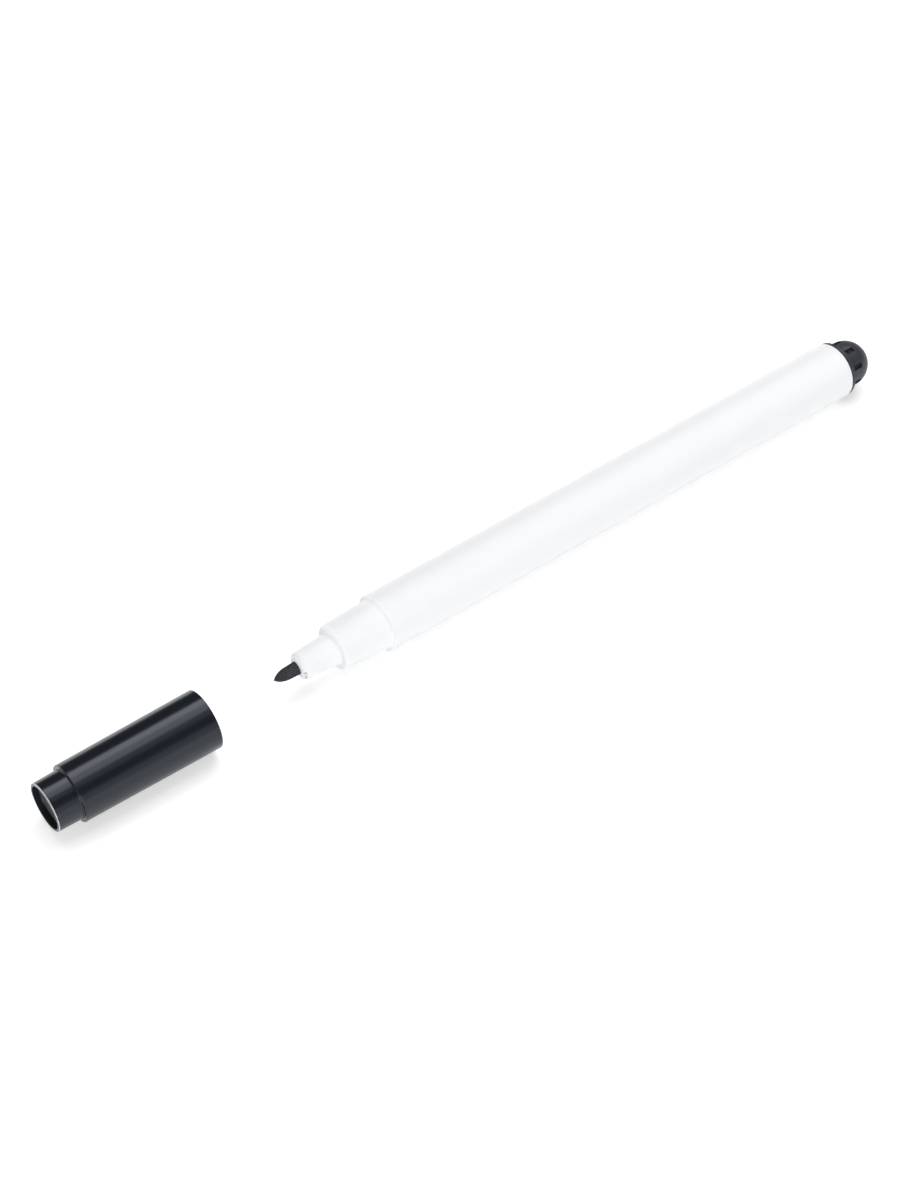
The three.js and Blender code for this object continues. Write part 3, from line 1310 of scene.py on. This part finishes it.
core_length = core_back - core_front
bundle_sizes = {
    "Length": core_length * MM,
    "Tuft Width": TUFT_WIDTH * MM,
    "Crimp": TUFT_CRIMP * MM,
    "Crimp Waves": 2 * pi * core_length / CRIMP_LENGTH,
    "Nib Room": (nib_radius + NIB_ROOM) * MM,
    "Nib Depth": (nib_back + NIB_BACK_ROOM - core_front) * MM,
    "Axis Height": AXIS_HEIGHT * MM,
}
core = tuft_places()
bake_tree(core, bundle_tree(bundle_sizes), bundle_sizes, core_fibre)
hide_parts("reservoir_core")
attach(core, "pen")
print("fibre faces:", len(core.data.polygons))

# %% Film sleeve
FILM_THICKNESS = 0.15
WRAP_AROUND = 96


def wrap_profile():
    inner = wrap_radius - FILM_THICKNESS
    return [
        (wrap_front, inner),
        (wrap_front, wrap_radius),
        (wrap_back, wrap_radius),
        (wrap_back, inner),
    ]


wrap = turned("reservoir_film", wrap_profile(), WRAP_AROUND)
wrap.data.set_sharp_from_angle(angle=SHARP)
wrap.data.materials.append(film)
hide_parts("reservoir_wrap")
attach(wrap, "pen")
print("film faces:", len(wrap.data.polygons))

# %% [markdown]
# ## The camera
#
# The photograph was taken from above the cap's side. A pinhole camera fitted to the outlines gives
# a focal length of 2200 pixels for a picture 1200 pixels high, 47 degrees above the table, with the
# barrel turned 37.5 degrees from the picture's horizontal.

# %% Camera
PHOTO_HEIGHT = 1200
FOCAL_PIXELS = 2200
SENSOR_HEIGHT = 24
CAMERA_DISTANCE = 371.9
CAMERA_RISE = 46.83
BARREL_TURN = 37.49
AIM = Vector((-8.58, 0.61, 0.28))
NEAR = 0.01
FAR = 60.0


def direction(rise, turn):
    """A unit vector that rises this far above the table, turned from -Y towards -X."""
    flat = cos(radians(rise))
    return Vector((-flat * sin(radians(turn)), -flat * cos(radians(turn)), sin(radians(rise))))


camera = bpy.data.objects.new("camera", bpy.data.cameras.new("camera"))
bpy.context.scene.collection.objects.link(camera)
sight = direction(CAMERA_RISE, BARREL_TURN)
camera.location = (AIM + sight * CAMERA_DISTANCE) * MM
camera.rotation_euler = sight.to_track_quat("Z", "Y").to_euler()
camera.data.sensor_fit = "VERTICAL"
camera.data.sensor_height = SENSOR_HEIGHT
camera.data.lens = SENSOR_HEIGHT * FOCAL_PIXELS / PHOTO_HEIGHT
camera.data.clip_start = NEAR
camera.data.clip_end = FAR
bpy.context.scene.camera = camera
print("lens %.1f mm" % camera.data.lens)

# %% [markdown]
# ## Table and light
#
# A glossy round piece is a mirror bent into a tube: its look is the room around it. Three long
# softboxes side by side overhead, bright behind and weak in front, draw the band along the cap with
# its sharp upper edge and its slow fade, and the rest of the room is dim. A front card and three
# fills at the left stand low, and lift both sides of the white barrel. The table is white and
# lights the marker from below. For the camera, for mirrored rays and for rays through clear things
# it also glows a little, so that it comes out white as in the photograph and still takes the soft
# shadow.
# The glow grows where the lamps no longer reach, and the room is white just above the table's far
# edge, so that the ground is white from every side.

# %% Table
TABLE_SIZE = 2 * FAR
TABLE_GLOW = 0.5
TABLE_WHITE = "#ececec"
TABLE_GRAIN = 0.8
TABLE_RELIEF = 0.02
LIT_REACH = 0.25
DARK_REACH = 0.6


def table_finish():
    made, tree, place = new_material("white_matt_laminate")
    grain = add(tree, "ShaderNodeTexNoise", {"Vector": place, "Scale": per_metre(TABLE_GRAIN)})
    relief = add(
        tree,
        "ShaderNodeBump",
        {"Height": grain.outputs[0], "Strength": 0.05, "Distance": TABLE_RELIEF * MM},
    )
    matt = add(
        tree,
        "ShaderNodeBsdfDiffuse",
        {"Color": linear(TABLE_WHITE), "Normal": relief.outputs[0]},
    )
    far = add(tree, "ShaderNodeVectorMath", {0: place}, operation="LENGTH").outputs["Value"]
    level = add(
        tree,
        "ShaderNodeMapRange",
        {"Value": far, "From Min": LIT_REACH, "From Max": DARK_REACH, "To Min": TABLE_GLOW},
    )
    glow = add(tree, "ShaderNodeEmission", {"Strength": level.outputs["Result"]})
    lit = add(tree, "ShaderNodeAddShader", {0: matt.outputs[0], 1: glow.outputs[0]})
    ray = add(tree, "ShaderNodeLightPath").outputs
    seen = compute(tree, "MAXIMUM", ray["Is Camera Ray"], ray["Is Glossy Ray"])
    seen = compute(tree, "MAXIMUM", seen, ray["Is Transmission Ray"])
    mixed = add(tree, "ShaderNodeMixShader", {0: seen, 1: matt.outputs[0], 2: lit.outputs[0]})
    surface(tree, mixed)
    return made


print("glow of the table beside the marker:", TABLE_GLOW)

# %% Lay the table
sheet = bmesh.new()
bmesh.ops.create_grid(sheet, x_segments=1, y_segments=1, size=TABLE_SIZE / 2)
table = finished("table", sheet)
table.data.materials.append(table_finish())
print("table: %d m wide" % TABLE_SIZE)

# %% Softboxes
BEYOND_TAIL = (0.2, 0, 0)
MIDDLE = (0, 0, 0)


def softbox(name, aim, rise, distance, size, radiance, turn=0):
    """A soft card of this size in metres that faces a point from this rise and turn."""
    lamp = bpy.data.lights.new(name, "AREA")
    lamp.shape = "RECTANGLE"
    lamp.size, lamp.size_y = size
    lamp.energy = radiance * pi * lamp.size * lamp.size_y
    made = bpy.data.objects.new(name, lamp)
    sight = direction(rise, turn)
    made.location = Vector(aim) + sight * distance
    made.rotation_euler = sight.to_track_quat("Z", "Y").to_euler()
    made.visible_camera = False
    bpy.context.scene.collection.objects.link(made)
    return made


softbox("band_behind", BEYOND_TAIL, rise=112, distance=0.5, size=(0.7, 0.203), radiance=3.75)
softbox("band_middle", BEYOND_TAIL, rise=89, distance=0.5, size=(0.7, 0.194), radiance=2.3)
softbox("band_front", BEYOND_TAIL, rise=68, distance=0.5, size=(0.7, 0.176), radiance=0.5)
softbox("front_card", BEYOND_TAIL, rise=12, distance=0.7, size=(0.9, 0.4), radiance=0.65)
softbox("left_fill", MIDDLE, rise=15, turn=90, distance=0.8, size=(0.8, 0.4), radiance=1.1)
softbox("low_fill", MIDDLE, rise=12, turn=30, distance=0.8, size=(0.8, 0.3), radiance=5.0)
softbox("back_fill", MIDDLE, rise=12, turn=150, distance=0.8, size=(0.8, 0.3), radiance=2.3)
print("lamps:", len(bpy.data.lights))

# %% Room
ROOM_LEVEL = 0.03
WHITE_RISE = 1.5
DIM_RISE = 3

world = bpy.data.worlds.new("studio")
bpy.context.scene.world = world
world.use_nodes = True
room = world.node_tree
room.nodes.clear()
towards = add(room, "ShaderNodeTexCoord").outputs["Generated"]
level = add(
    room,
    "ShaderNodeMapRange",
    {
        "Value": add(room, "ShaderNodeSeparateXYZ", {0: towards}).outputs["Z"],
        "From Min": sin(radians(WHITE_RISE)),
        "From Max": sin(radians(DIM_RISE)),
        "To Min": 1.0,
        "To Max": ROOM_LEVEL,
    },
)
backdrop = add(room, "ShaderNodeBackground", {"Strength": level.outputs["Result"]})
backdrop.inputs["Color"].default_value = (1, 1, 1, 1)
add(room, "ShaderNodeOutputWorld", {"Surface": backdrop.outputs[0]})
bpy.context.scene.view_settings.view_transform = "Standard"
print("room level:", ROOM_LEVEL)
